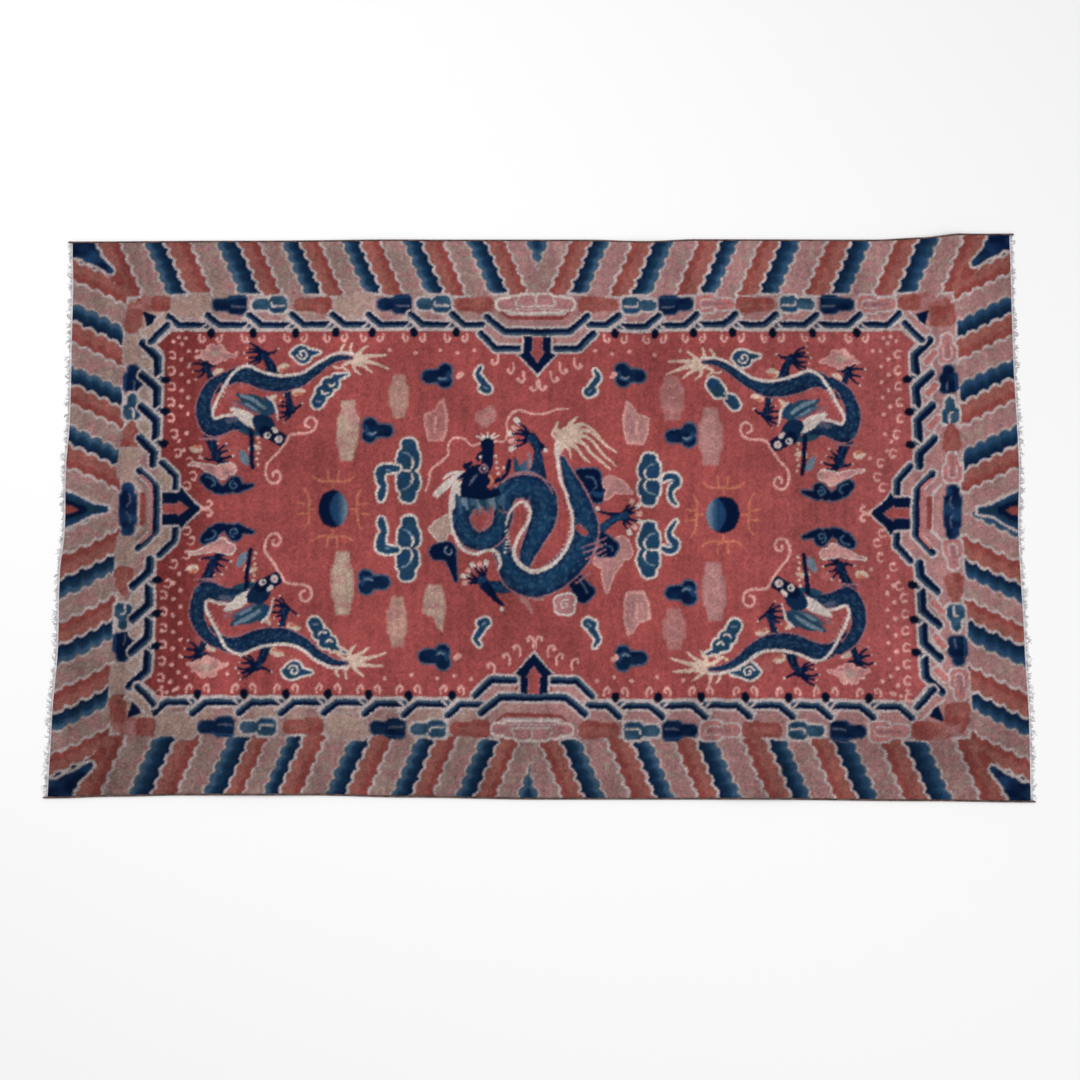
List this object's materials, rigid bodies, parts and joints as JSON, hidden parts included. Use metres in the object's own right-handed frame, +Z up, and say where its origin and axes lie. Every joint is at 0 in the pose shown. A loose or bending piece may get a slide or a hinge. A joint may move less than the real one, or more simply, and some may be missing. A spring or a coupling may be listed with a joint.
{
  "type": "hand-knotted carpet",
  "caption": "Rectangular hand-knotted wool pile carpet with traditional dragons, clouds and a wave border, side cords and short cotton fringe, lying flat on a floor.",
  "frame": {"origin": "middle of the carpet at floor level, under its woven back", "axes": "+X along the carpet's length (the warps), +Y towards its far long edge in the picture, +Z up out of the pile"},
  "size_m": [2.4174, 1.4386, 0.013],
  "materials": {
    "pile": "worn wool pile, matte",
    "selvedge": "overcast wool cord, matte",
    "fringe": "greyed cotton warp, matte"
  },
  "bodies": {
    "root": {"carpet": "pile", "selvedge_far": "selvedge", "selvedge_near": "selvedge", "fringe_left": "fringe", "fringe_right": "fringe"}
  },
  "joints": []
}
